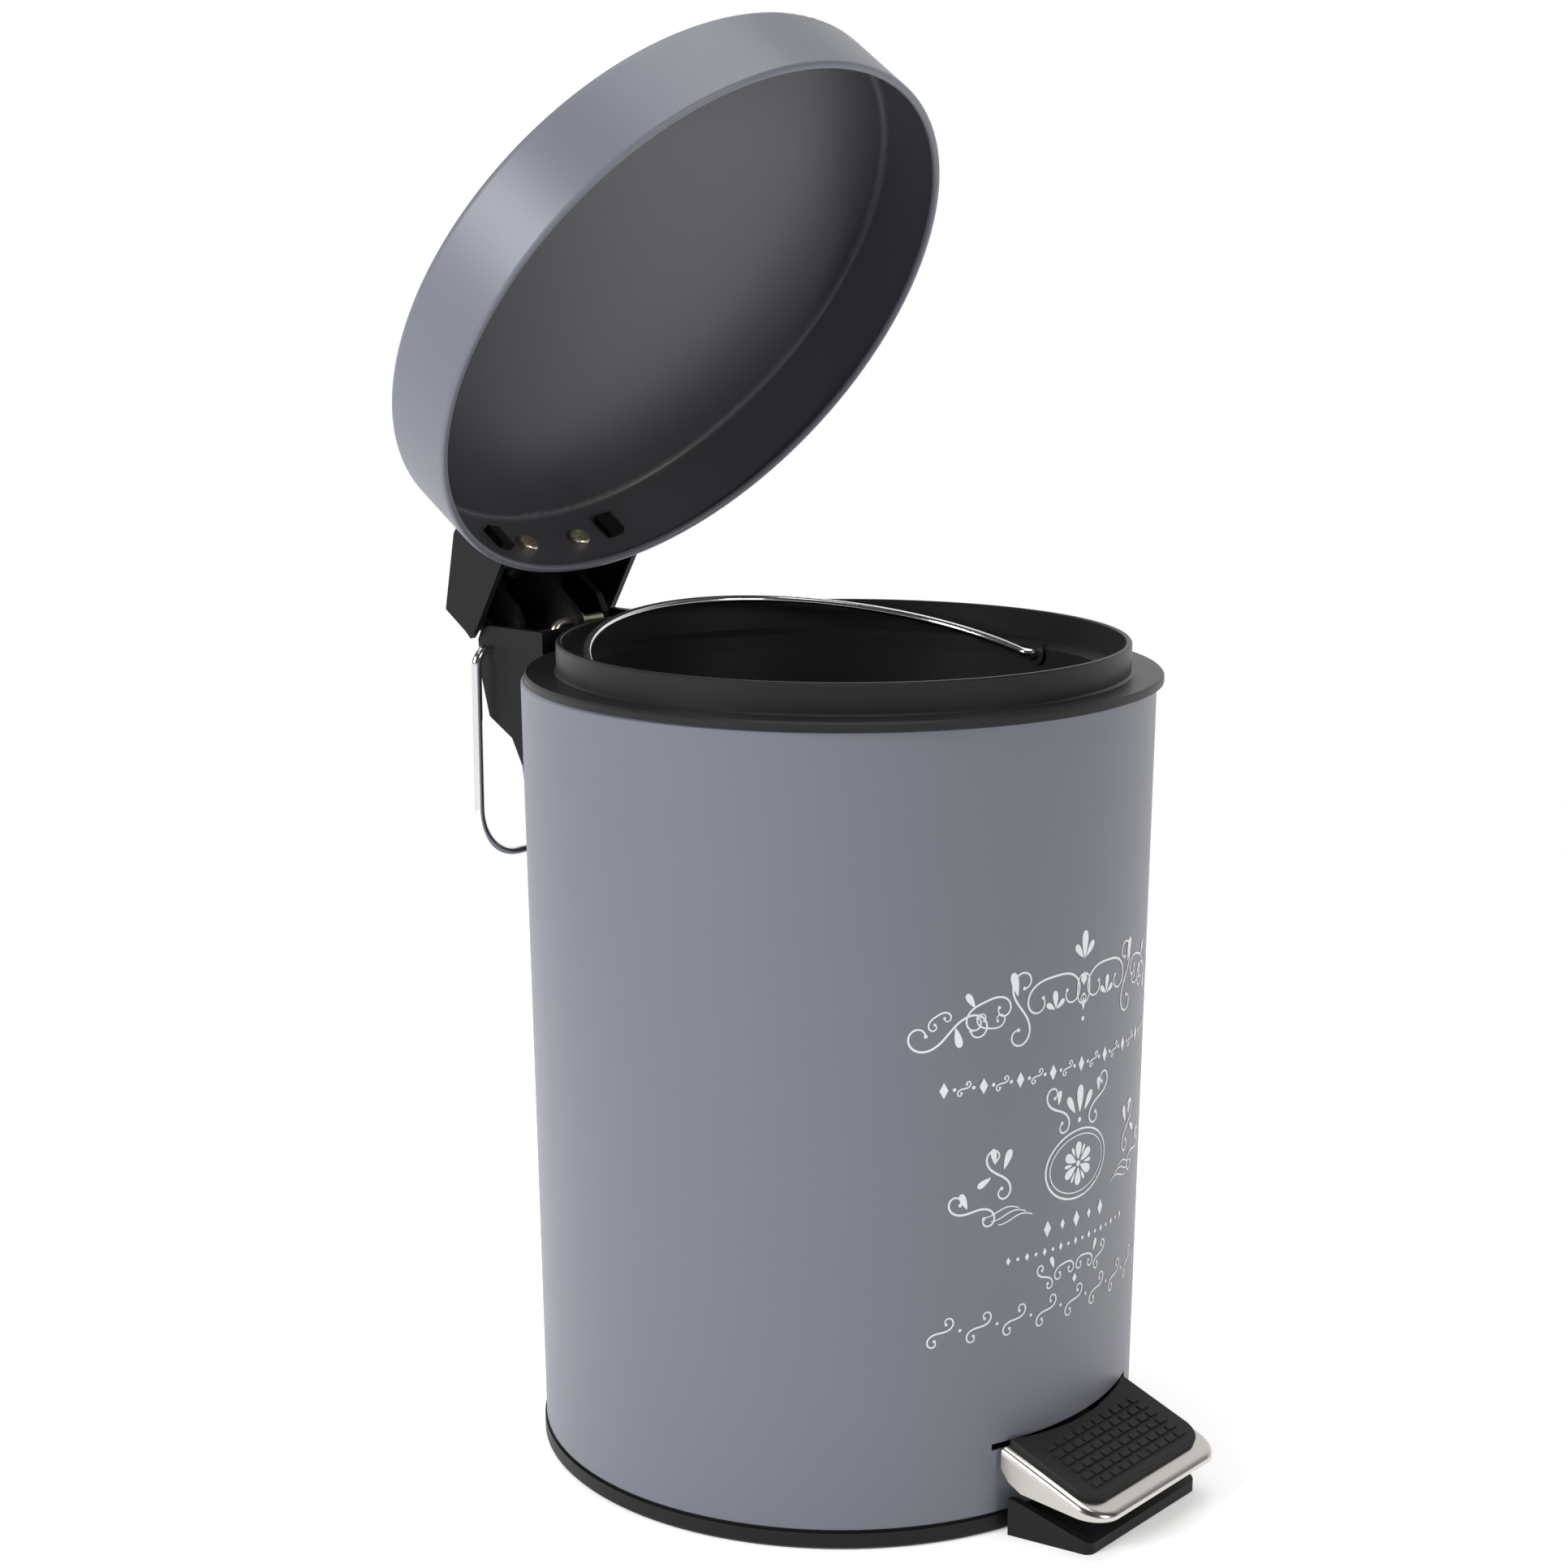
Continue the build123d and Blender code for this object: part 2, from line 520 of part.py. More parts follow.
def closed_hook():
    """Hook's place when the lid is closed, as (y, z)."""
    angle = radians(ROD_ARM_ANGLE - LID_OPEN)
    return HINGE_Y - ROD_ARM * cos(angle), HINGE_Z + ROD_ARM * sin(angle)


def rod_rib():
    """Rib with the lobe that the pull rod's top hook turns in."""
    y, z = closed_hook()
    lobe_r = ROD_R + ROD_LOBE
    front = LID_R + 3.4
    rib = rib_web(front, *ROD_RIB)
    rib += across([(front, LID_Z + 6), (y - lobe_r, z), (y + lobe_r, z), (HINGE_Y - 1, LID_Z + 6)], *ROD_RIB)
    rib += bar_x(lobe_r, *ROD_RIB, y, z)
    return rib - bar_x(ROD_R + RUN_FIT, *ROD_RIB, y, z)


def pan_screw(surface_r, z):
    """Cross-recess screw from inside a curved wall, pointing out along +Y."""
    seat = sqrt(surface_r ** 2 - SCREW_HEAD_R ** 2) - TIGHT_FIT
    head = bar_y(SCREW_HEAD_R, seat - SCREW_HEAD, seat, 0, z)
    rim = head.edges().filter_by(GeomType.CIRCLE).sort_by(Axis.Y)[0]
    head = fillet(rim, 1.0)
    screw = head + bar_y(SCREW_R, seat - 0.1, seat + SCREW_LENGTH, 0, z)
    width, length, depth = CROSS
    for wide, tall in ((width, length), (length, width)):
        screw -= block((-wide / 2, wide / 2), (seat - SCREW_HEAD, seat - SCREW_HEAD + depth),
                       (z - tall / 2, z + tall / 2))
    return screw


def lid_screws():
    screw = pan_screw(LID_R - SHEET, lid_screw_z())
    pair = at_angle(screw, LID_SCREW_X, LID_R) + at_angle(screw, -LID_SCREW_X, LID_R)
    return opened(pair)


def bracket_screws():
    group = []
    for z, radius in fixed_screw_places():
        screw = pan_screw(radius - SHEET, z)
        group += [at_angle(screw, FIXED_SCREW_X, radius), at_angle(screw, -FIXED_SCREW_X, radius)]
    return Compound(children=group)


def hinge_bracket():
    front = SHELL_TOP_R + 1
    rear = HINGE_Y + 3.5
    inner = CHEEK_OUT - CHEEK_WALL
    low_z = MOUTH_Z - FIXED_LOW

    def placed(outline):
        return [(rear - ahead, MOUTH_Z + above) for ahead, above in outline]

    side = placed(CHEEK_OUTLINE)
    side += [(rear - 26, low_z), (front - 12, low_z), (front - 12, MOUTH_Z), (front, MOUTH_Z)]
    top_z = side[0][1]
    body = across([(front, top_z)] + side, -CHEEK_OUT, CHEEK_OUT)
    hollow = placed(HOLLOW_OUTLINE)
    hollow = [(FOOT_R / 2, hollow[0][1])] + hollow + [(FOOT_R / 2, hollow[-1][1])]
    body -= across(hollow, -inner, inner)
    body += mounting_wall(inner)
    strap_y = SHELL_TOP_R + CROSS_STRAP[0]
    body += block((-inner - 1, inner + 1), (strap_y, strap_y + CROSS_STRAP[1]), (MOUTH_Z - 3, top_z))
    for z, radius in fixed_screw_places():
        boss = bar_y(SCREW_BOSS_R, radius - 4, radius + SCREW_LENGTH - 0.5, 0, z)
        body += both_sides(at_angle(boss, FIXED_SCREW_X, radius))
    body += both_sides(bar_x(KNUCKLE_R, BOSS_IN, CHEEK_OUT, HINGE_Y, HINGE_Z))
    body -= turned([(0, 0), (shell_r(0) + SKIRT_GAP * 2, 0), (SHELL_TOP_R + SKIRT_GAP * 2, MOUTH_Z),
                    (0, MOUTH_Z)])
    body -= both_sides(bar_x(PIN_R + TIGHT_FIT, BOSS_IN, CHEEK_OUT, HINGE_Y, HINGE_Z))
    for z, radius in fixed_screw_places():
        bore = bar_y(SCREW_R + TIGHT_FIT, radius - 5, radius + SCREW_LENGTH + 0.5, 0, z)
        body -= both_sides(at_angle(bore, FIXED_SCREW_X, radius))
    return body


def mounting_wall(half):
    """Wall that lies on the shell, with a window for the rod."""
    low = MOUTH_Z - FIXED_LOW
    wall = turned([(shell_r(low), low), (shell_r(low) + BRACKET_PAD, low),
                   (SHELL_TOP_R + BRACKET_PAD, MOUTH_Z), (SHELL_TOP_R, MOUTH_Z)])
    wall &= block((-half - 1, half + 1), (0, HINGE_Y), (low, MOUTH_Z))
    room = ROD_SLOT_HALF + 0.5
    return wall - block((ROD_X - room, ROD_X + room), (0, HINGE_Y), (low + 8, MOUTH_Z - 12))


def hinge_pin():
    return bar_x(PIN_R, -PIN_HALF, PIN_HALF, HINGE_Y, HINGE_Z)


def pull_rod():
    jog_low, jog_high = ROD_JOG_DROP
    path = FilletPolyline(
        (ROD_LOW_END - 1, ROD_LOW_Y, ROD_LOW_Z), (ROD_X, ROD_LOW_Y, ROD_LOW_Z),
        (ROD_X, ROD_LOW_Y, MOUTH_Z - jog_low), (ROD_X, HOOK_Y, MOUTH_Z - jog_high),
        (ROD_X, HOOK_Y, HOOK_Z), (ROD_TOP_END, HOOK_Y, HOOK_Z),
        radius=[ROD_HOOK_R, ROD_JOG_R, ROD_JOG_R, ROD_HOOK_R])
    return round_wire(path, ROD_R)


def rod_clip():
    """Push-on ring that keeps the top hook in its rib."""
    wall, length = ROD_CLIP
    x_from = ROD_RIB[1] + GAP
    x_to = x_from + length
    return bar_x(ROD_R + wall, x_from, x_to, HOOK_Y, HOOK_Z) - bar_x(ROD_R, x_from, x_to, HOOK_Y, HOOK_Z)


def carry_handle():
    low = HINGE_Z - HANDLE_DROP
    path = FilletPolyline(
        (-HANDLE_END, HINGE_Y, HINGE_Z), (-HANDLE_X, HINGE_Y, HINGE_Z), (-HANDLE_X, HINGE_Y, low),
        (HANDLE_X, HINGE_Y, low), (HANDLE_X, HINGE_Y, HINGE_Z), (HANDLE_END, HINGE_Y, HINGE_Z),
        radius=[HANDLE_BEND, HANDLE_CORNER, HANDLE_CORNER, HANDLE_BEND])
    return round_wire(path, HANDLE_R)


def bucket_body_r(z):
    """Outer radius of the bucket's body at a height."""
    return NECK_R - BUCKET_TAPER * (MOUTH_Z - z) / (MOUTH_Z - BUCKET_LOW_Z)


def bail_frame():
    """Plane of the bail at rest: X along the pivot axis, Y towards its crown."""
    turn = radians(BAIL_TURN)
    tilt = radians(BAIL_TILT)
    axis = Vector(cos(turn), sin(turn), 0)
    crown = Vector(-sin(turn) * cos(tilt), cos(turn) * cos(tilt), sin(tilt))
    return Plane(origin=(0, BUCKET_SHIFT, BAIL_Z), x_dir=axis, z_dir=axis.cross(crown))


def inner_bucket():
    flange_low = MOUTH_Z + SEAT_GAP
    flange_top = flange_low + FLANGE
    collar_top = flange_top + COLLAR_HEIGHT
    collar_r = NECK_R + BUCKET_NECK
    flange_r = SHELL_TOP_R + FLANGE_OVER
    low_r = bucket_body_r(BUCKET_LOW_Z)
    bucket = turned([
        (0, BUCKET_LOW_Z), (low_r, BUCKET_LOW_Z), (NECK_R, MOUTH_Z), (NECK_R, flange_low),
        (flange_r, flange_low), (flange_r, flange_top - 0.6), (flange_r - 0.6, flange_top),
        (collar_r + 0.7, flange_top), (collar_r, flange_top + 0.5), (collar_r, collar_top - 0.5),
        (collar_r - 0.4, collar_top), (collar_r - BUCKET_WALL + 0.3, collar_top),
        (collar_r - BUCKET_WALL, collar_top - 0.3), (collar_r - BUCKET_WALL, flange_top),
        (NECK_R - BUCKET_WALL, flange_top - 1.5), (NECK_R - BUCKET_WALL, MOUTH_Z - 3),
        (low_r - BUCKET_WALL, BUCKET_LOW_Z + BUCKET_WALL), (0, BUCKET_LOW_Z + BUCKET_WALL)])
    bucket = Pos(0, BUCKET_SHIFT, 0) * bucket
    frame = bail_frame()
    reach = NECK_R - BUCKET_WALL
    boss = Pos(reach - 0.1, 0, 0) * Rot(0, 90, 0) * Cylinder(BAIL_R + 2.0, 2.2)
    bore = Pos(reach, 0, 0) * Rot(0, 90, 0) * Cylinder(BAIL_R + RUN_FIT, 12)
    bucket += frame * both_sides(boss)
    return bucket - frame * both_sides(bore)


def bucket_handle():
    half = NECK_R - BAIL_INSET
    tip = NECK_R + 0.8
    lean = BAIL_BEND * (1 - sqrt(0.5))
    right = [Line((tip, 0), (half + BAIL_BEND, 0)),
             ThreePointArc((half + BAIL_BEND, 0), (half + lean, lean), (half, BAIL_BEND))]
    hoop = ThreePointArc((half, BAIL_BEND), (0, half + BAIL_BEND), (-half, BAIL_BEND))
    left = [ThreePointArc((-half, BAIL_BEND), (-half - lean, lean), (-half - BAIL_BEND, 0)),
            Line((-half - BAIL_BEND, 0), (-tip, 0))]
    path = Wire([edge.edge() for edge in right + [hoop] + left])
    return bail_frame() * round_wire(path, BAIL_R)


PARTS = {
    "body_shell": body_shell, "base": base, "hinge_bracket": hinge_bracket,
    "bracket_screws": bracket_screws, "hinge_pin": hinge_pin, "pedal_axle": pedal_axle,
    "axle_clips": axle_clips, "lid_shell": lid_shell, "lid_bracket": lid_bracket,
    "lid_screws": lid_screws, "pedal_lever": pedal_lever, "pedal_cover": pedal_cover,
    "pedal_pad": pedal_pad, "pedal_rivets": pedal_rivets, "pull_rod": pull_rod, "rod_clip": rod_clip,
    "carry_handle": carry_handle, "inner_bucket": inner_bucket, "bucket_handle": bucket_handle,
}

os.makedirs("parts", exist_ok=True)
for name, make in PARTS.items():
    export_step(make(), os.path.join("parts", name + ".step"))
    print("wrote", name)
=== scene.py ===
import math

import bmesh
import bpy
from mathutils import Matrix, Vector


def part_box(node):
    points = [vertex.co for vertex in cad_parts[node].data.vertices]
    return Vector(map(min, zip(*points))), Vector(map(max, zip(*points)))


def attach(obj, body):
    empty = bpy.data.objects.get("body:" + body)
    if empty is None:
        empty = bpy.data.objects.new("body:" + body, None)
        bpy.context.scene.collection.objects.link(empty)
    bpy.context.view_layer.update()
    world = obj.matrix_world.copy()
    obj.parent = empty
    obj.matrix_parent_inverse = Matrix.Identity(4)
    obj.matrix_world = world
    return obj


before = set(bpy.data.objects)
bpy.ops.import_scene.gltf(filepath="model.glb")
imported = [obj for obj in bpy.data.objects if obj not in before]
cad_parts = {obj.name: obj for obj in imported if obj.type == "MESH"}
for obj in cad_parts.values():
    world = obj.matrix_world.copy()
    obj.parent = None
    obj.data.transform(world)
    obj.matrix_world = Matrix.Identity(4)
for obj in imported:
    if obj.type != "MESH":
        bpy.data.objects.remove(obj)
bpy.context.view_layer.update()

# %% [markdown]
# # A pedal bin, dressed
# The engineering model arrives as a fixed frame: every piece of the bin in its place, in metres.
# This notebook gives those pieces their finishes, adds the printed scrollwork, and sets up a plain
# studio. Nothing of the frame is moved; the hinge and the drum's radius are read from it, other sizes are
# given below.

MM = 0.001

# %% [markdown]
# ## The camera
# The view is set first, because everything else is judged through it. The camera stands to the left
# of the pedal, a little above the rim, three quarters of a metre away, so that the open lid is seen
# from below and inside. A 64 mm lens keeps the cylinder's sides almost upright.

# %% Camera
VIEW_TURN = math.radians(50.9)      # round from the pedal towards the left side
VIEW_DISTANCE = 738 * MM
VIEW_HEIGHT = 331.8 * MM
VIEW_DOWN = math.radians(11.42)
VIEW_PAN = math.radians(1.11)
VIEW_ROLL = math.radians(0.11)
LENS, SENSOR = 63.8, 36

camera_data = bpy.data.cameras.new("camera")
camera_data.lens = LENS
camera_data.sensor_width = SENSOR
camera = bpy.data.objects.new("camera", camera_data)
camera.location = (-VIEW_DISTANCE * math.sin(VIEW_TURN), -VIEW_DISTANCE * math.cos(VIEW_TURN), VIEW_HEIGHT)
camera.rotation_euler = (math.pi / 2 - VIEW_DOWN, VIEW_ROLL, VIEW_PAN - VIEW_TURN)
bpy.context.scene.collection.objects.link(camera)
bpy.context.scene.camera = camera
print("camera at", [round(v, 3) for v in camera.location])

# %% [markdown]
# ## The studio
# A pale floor fades into the white behind it. Two soft lights stand left and right, so that the
# coated steel shows a light band down each side and a quieter middle, which is what tells the eye
# that the drum is round. The right one is a little warmer. A third, the largest, hangs overhead.

# %% Floor and lights
FLOOR_HALF = 40.0
LIGHT_TARGET = (0, 0, 0.18)
LIGHTS = {   # place, size, power, colour
    "left_softbox": ((-1.45, 0.45, 0.9), 0.7, 23, (0.97, 0.99, 1.0)),
    "right_softbox": ((0.05, -1.65, 0.75), 0.5, 8, (1.0, 0.95, 0.90)),
    "top_softbox": ((0.1, 0.1, 2.0), 1.4, 18, (1.0, 1.0, 1.0)),
}


def area_light(name, place, size, power, colour):
    """Square soft light that faces the middle of the bin."""
    data = bpy.data.lights.new(name, "AREA")
    data.size, data.energy, data.color = size, power, colour
    lamp = bpy.data.objects.new(name, data)
    lamp.location = place
    lamp.rotation_euler = (Vector(LIGHT_TARGET) - Vector(place)).to_track_quat("-Z", "Y").to_euler()
    bpy.context.scene.collection.objects.link(lamp)


def studio_floor(half):
    corners = [(-half, -half, 0), (half, -half, 0), (half, half, 0), (-half, half, 0)]
    mesh = bpy.data.meshes.new("floor")
    mesh.from_pydata(corners, [], [(0, 1, 2, 3)])
    floor = bpy.data.objects.new("floor", mesh)
    bpy.context.scene.collection.objects.link(floor)
    return floor


floor = studio_floor(FLOOR_HALF)
for name, settings in LIGHTS.items():
    area_light(name, *settings)
bpy.context.scene.view_settings.view_transform = "Standard"

# %% [markdown]
# ## The room
# Bright metal only looks like metal when it has something dark to mirror. So the room is white ahead,
# and above the horizon it fades to a dim ceiling and wall behind the camera, along the direction in
# which the camera looks. A white band at and under the horizon keeps the backdrop pale from all sides.

# %% World
DIM = 0.06                      # brightness above the horizon, away from what the camera faces
AHEAD_FADE = (0.0, 0.8)         # cosine of the angle to the view's direction
HORIZON_FADE = (0.15, 0.05)     # sine of the angle above the horizon


def room_part(tree, source, start, end, dark, light):
    """Brightness that goes from dark to light as the source goes from start to end."""
    part = tree.nodes.new("ShaderNodeMapRange")
    part.interpolation_type = "SMOOTHSTEP"
    for name, value in (("From Min", start), ("From Max", end), ("To Min", dark), ("To Max", light)):
        part.inputs[name].default_value = value
    tree.links.new(source, part.inputs["Value"])
    return part.outputs["Result"]


def studio_world():
    world = bpy.data.worlds.new("studio")
    world.use_nodes = True
    tree = world.node_tree
    ray = tree.nodes.new("ShaderNodeTexCoord").outputs["Generated"]
    ahead = tree.nodes.new("ShaderNodeVectorMath")
    ahead.operation = "DOT_PRODUCT"
    ahead.inputs[1].default_value = (math.sin(VIEW_TURN), math.cos(VIEW_TURN), 0)
    tree.links.new(ray, ahead.inputs[0])
    height = tree.nodes.new("ShaderNodeSeparateXYZ")
    tree.links.new(ray, height.inputs[0])
    brighter = tree.nodes.new("ShaderNodeMath")
    brighter.operation = "MAXIMUM"
    tree.links.new(room_part(tree, ahead.outputs["Value"], *AHEAD_FADE, DIM, 1.0), brighter.inputs[0])
    tree.links.new(room_part(tree, height.outputs["Z"], *HORIZON_FADE, 0.0, 1.0), brighter.inputs[1])
    tree.links.new(brighter.outputs[0], tree.nodes["Background"].inputs["Strength"])
    tree.nodes["Background"].inputs["Color"].default_value = (1, 1, 1, 1)
    return world


bpy.context.scene.world = studio_world()

# %% [markdown]
# ## Writing materials as sums
# Shader maths reads best as sums. `Value` wraps one socket; adding, multiplying or subtracting it
# places the Math node that does so. `Finish` is a material in the making: its method `add` places
# any other node, given its type, its settings and what its sockets get.

# %% Value and Finish
class Value:
    """One shader socket. Arithmetic on it adds Math nodes to the same material."""

    def __init__(self, socket):
        self.socket = socket

    def math(self, operation, first, second):
        tree = self.socket.id_data
        node = tree.nodes.new("ShaderNodeMath")
        node.operation = operation
        for target, value in zip(node.inputs, (first, second)):
            feed(target, value)
        return Value(node.outputs[0])

    def __add__(self, other): return self.math("ADD", self, other)
    def __radd__(self, other): return self.math("ADD", other, self)
    def __sub__(self, other): return self.math("SUBTRACT", self, other)
    def __rsub__(self, other): return self.math("SUBTRACT", other, self)
    def __mul__(self, other): return self.math("MULTIPLY", self, other)
    def __rmul__(self, other): return self.math("MULTIPLY", other, self)


def feed(target, value):
    """Link a Value to a socket, or set the socket to a plain number or colour."""
    if isinstance(value, Value):
        target.id_data.links.new(value.socket, target)
    else:
        target.default_value = value


class Finish:
    """A material that is being made: a Principled shader and the nodes that feed it."""

    def __init__(self, name):
        self.material = bpy.data.materials.new(name)
        self.material.use_nodes = True
        self.tree = self.material.node_tree
        self.shader = self.tree.nodes["Principled BSDF"]

    def add(self, kind, settings, sockets, output=0):
        """Place a node: its settings first, then its sockets, by name or number."""
        node = self.tree.nodes.new(kind)
        for key, value in settings.items():
            setattr(node, key, value)
        for key, value in sockets.items():
            feed(node.inputs[key], value)
        return Value(node.outputs[output])

    def set(self, **values):
        """Feed the shader's sockets: Base_Color=..., Roughness=..., and so on."""
        for key, value in values.items():
            feed(self.shader.inputs[key.replace("_", " ")], value)
        return self

    def place(self):
        """Object coordinates in metres, the same all over the bin."""
        return self.add("ShaderNodeTexCoord", {}, {}, "Object")

    def noise(self, per_metre, detail=2.0, roughness=0.5):
        """Noise from 0 to 1 whose cells are about 1 / per_metre across."""
        return self.add("ShaderNodeTexNoise", {}, {"Vector": self.place(), "Scale": per_metre,
                                                   "Detail": detail, "Roughness": roughness})

    def bump(self, height, depth, strength=1.0):
        """Normal from a height of 0 to 1 that is `depth` metres deep."""
        return self.add("ShaderNodeBump", {}, {"Height": height, "Distance": depth, "Strength": strength})

    def mix(self, mask, low, high):
        """Colour that goes from low to high as the mask goes from 0 to 1."""
        return self.add("ShaderNodeMix", {"data_type": "RGBA"}, {0: mask, 6: low, 7: high}, 2)

    def tint(self, mask, low, high):
        """The same between two plain colours."""
        return self.mix(mask, (*low, 1), (*high, 1))


def dress(finish, *names):
    """Give a finish to nodes of the frame or to new pieces."""
    for name in names:
        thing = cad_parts.get(name) or bpy.data.objects[name]
        thing.data.materials.clear()
        thing.data.materials.append(finish.material)
    print(finish.material.name, "on", ", ".join(names))


# %% [markdown]
# ## Grey coated steel
# Body and lid are sheet steel under a matt grey coating. Sprayed coating is never mirror-flat: it has
# a very fine orange peel and slight drifts in colour and gloss. Two noises do it, one of a
# millimetre for the peel and one of several centimetres for the drift.

# %% Coated steel
OUTER_COAT = (0.135, 0.144, 0.175), (0.145, 0.154, 0.185)
# Inside of the lid: a darker grey that is painted shade, not a coat of its own.
LID_INSIDE_PAINTED_SHADE = (0.066, 0.065, 0.076), (0.073, 0.072, 0.083)


def coated_steel(name, inside=None):
    """Outer coat, and a darker colour, painted shade, where the mask that `inside` makes is 1."""
    steel = Finish(name)
    drift = steel.noise(18, 2.0)
    peel = steel.noise(1400, 3.0, 0.6)
    colour = steel.tint(drift, *OUTER_COAT)
    if inside:
        # Painted shade: the lid's inside is darkened in colour where the mask is 1.
        painted_shade = steel.tint(drift, *LID_INSIDE_PAINTED_SHADE)
        colour = steel.mix(inside(steel), colour, painted_shade)
    return steel.set(Base_Color=colour, Roughness=0.34 + 0.06 * drift + 0.05 * peel,
                     Normal=steel.bump(peel, 0.00002, 0.5))


dress(coated_steel("coated_steel"), "body_shell")

# %% [markdown]
# The inside of the lid is painted darker than the outside, as painted shade for the shaded hollow.
# Where that is has to be worked out in the lid's own axes, because the lid stands open: move to the hinge,
# turn back by the opening angle, and then the inside is all that lies under the top sheet, within the skirt
# and above the rolled rim.

# %% Inside of the lid
LID_OPEN = math.radians(54.5)
LID_INSIDE_R = 85.3 * MM       # between the skirt's two faces
RIM_TOP_Z = 218.8 * MM         # top of the rolled rim, with the lid closed
LID_TOP_Z = 241.0 * MM         # between the top's two faces, with the lid closed
SOFT = 0.1 * MM                # each side of a line where the coat changes


def inside_lid(steel):
    pin_low, pin_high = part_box("hinge_pin")
    hinge = (0, (pin_low[1] + pin_high[1]) / 2, (pin_low[2] + pin_high[2]) / 2)
    closed = steel.add("ShaderNodeVectorRotate", {"rotation_type": "X_AXIS"},
                       {"Vector": steel.place(), "Center": hinge, "Angle": LID_OPEN})
    flat = steel.add("ShaderNodeVectorMath", {"operation": "MULTIPLY"}, {0: closed, 1: (1, 1, 0)})
    radius = steel.add("ShaderNodeVectorMath", {"operation": "LENGTH"}, {0: flat}, 1)
    height = steel.add("ShaderNodeSeparateXYZ", {}, {0: closed}, 2)

    def step(value, low, high):
        return steel.add("ShaderNodeMapRange", {}, {"Value": value, "From Min": low, "From Max": high})

    return (step(radius, LID_INSIDE_R + SOFT, LID_INSIDE_R - SOFT)
            * step(height, RIM_TOP_Z - 3 * SOFT, RIM_TOP_Z)
            * step(height, LID_TOP_Z + SOFT, LID_TOP_Z - SOFT))


# The lid's inside gets painted shade.
dress(coated_steel("coated_steel_lid", inside_lid), "lid_shell")

# %% [markdown]
# ## Black mouldings
# Base, brackets and bucket are moulded plastic. A mould is spark-eroded, so the surface has a fine
# grain and only a dull sheen; the bucket's mould is smoother.

# %% Moulded plastic
def moulded(name, shade, grain, depth, gloss):
    """Black of a shade; grain per metre and its depth in metres; gloss is the lowest roughness."""
    plastic = Finish(name)
    speck = plastic.noise(grain, 3.0, 0.65)
    drift = plastic.noise(30, 2.0)
    return plastic.set(Base_Color=plastic.tint(drift, [0.85 * shade] * 3, [1.15 * shade] * 3),
                       Specular_IOR_Level=0.2, Roughness=gloss + 0.1 * drift,
                       Normal=plastic.bump(speck, depth, 0.6))


dress(moulded("grained_black", 0.009, 1800, 0.00004, 0.42), "base", "hinge_bracket", "lid_bracket")
dress(moulded("bucket_black", 0.016, 900, 0.00002, 0.34), "inner_bucket")
dress(moulded("tread_rubber", 0.020, 2200, 0.00005, 0.55), "pedal_pad")

# %% [markdown]
# ## Bright metal
# The handles are drawn wire, chromed after bending, with faint marks left from drawing. The pedal
# cover is polished sheet. Screws, rod, lever and axle are only zinc plated and yellower.

# %% Chrome and zinc
def plated(name, colour, gloss, scratch):
    """Metal with faint clouds in its colour and scratches, so many per metre, in its gloss."""
    metal = Finish(name)
    cloud = metal.noise(60, 2.0)
    lines = metal.noise(scratch, 4.0, 0.7)
    return metal.set(Base_Color=metal.tint(cloud, [0.94 * c for c in colour], colour), Metallic=1.0,
                     Roughness=gloss + 0.05 * cloud + 0.05 * lines, Normal=metal.bump(lines, 0.000004, 0.25))


dress(plated("chromed_wire", (0.80, 0.81, 0.82), 0.09, 700), "carry_handle", "bucket_handle")
dress(plated("polished_cover", (0.60, 0.575, 0.54), 0.17, 700), "pedal_cover")
dress(plated("zinc_plate", (0.86, 0.79, 0.64), 0.26, 900), "lid_screws", "bracket_screws", "hinge_pin",
      "pedal_axle", "axle_clips", "pedal_lever", "pedal_rivets", "pull_rod", "rod_clip")


# %% [markdown]
# ## The printed ornament
# The front of the drum carries a one-colour screen print: a crest of scrolls, a medallion between
# two sprays, rows of lozenges and a running border. All of it is drawn here from a handful of curves.
# Ink is raised by a few hundredths of a millimetre, so each stroke becomes a thin ribbon just clear
# of the steel.

# %% Curves: scroll, leaf, lozenge, dot
SCROLL_STEPS = 60
LEAF_STEPS = 20
LEAF_BULGE = 0.55     # how much of the leaf's width lies towards its foot
DOT_STEPS = 14


def scroll(middle, heading, length, turn, same_side):
    """Line that curls ever tighter to both ends: a C if the ends curl to the same side, else an S."""
    def arm(direction):
        u, z = middle
        points = []
        stride = direction * length / 2 / SCROLL_STEPS
        for step in range(SCROLL_STEPS):
            bend = turn * ((step + 0.5) / SCROLL_STEPS) ** 2
            angle = math.radians(heading) + (direction * bend if same_side else bend)
            u += stride * math.cos(angle)
            z += stride * math.sin(angle)
            points.append((u, z))
        return points
    return arm(-1)[::-1] + [middle] + arm(1)


def outline(middle, heading, shape):
    """Closed shape turned to a heading and moved to its place."""
    c, s = math.cos(math.radians(heading)), math.sin(math.radians(heading))
    return [(middle[0] + x * c - y * s, middle[1] + x * s + y * c) for x, y in shape]


def leaf(foot, heading, length, width):
    """Drop shape that starts at its foot, widest towards it."""
    turns = [2 * math.pi * step / LEAF_STEPS for step in range(LEAF_STEPS)]
    shape = [(length / 2 * (1 - math.cos(t)), width / 2 * math.sin(t) * (1 - LEAF_BULGE * math.cos(t)))
             for t in turns]
    return outline(foot, heading, shape)


def lozenge(middle, wide, tall):
    return outline(middle, 0, [(-wide / 2, 0), (0, -tall / 2), (wide / 2, 0), (0, tall / 2)])


def dot(middle, radius):
    turns = [2 * math.pi * step / DOT_STEPS for step in range(DOT_STEPS)]
    return outline(middle, 0, [(radius * math.cos(t), radius * math.sin(t)) for t in turns])


# %% [markdown]
# A small sheet of paper collects the drawing: `line` for strokes, `fill` for solid shapes, and
# `mirror` for everything drawn since a mark, because the ornament is the same left and right.

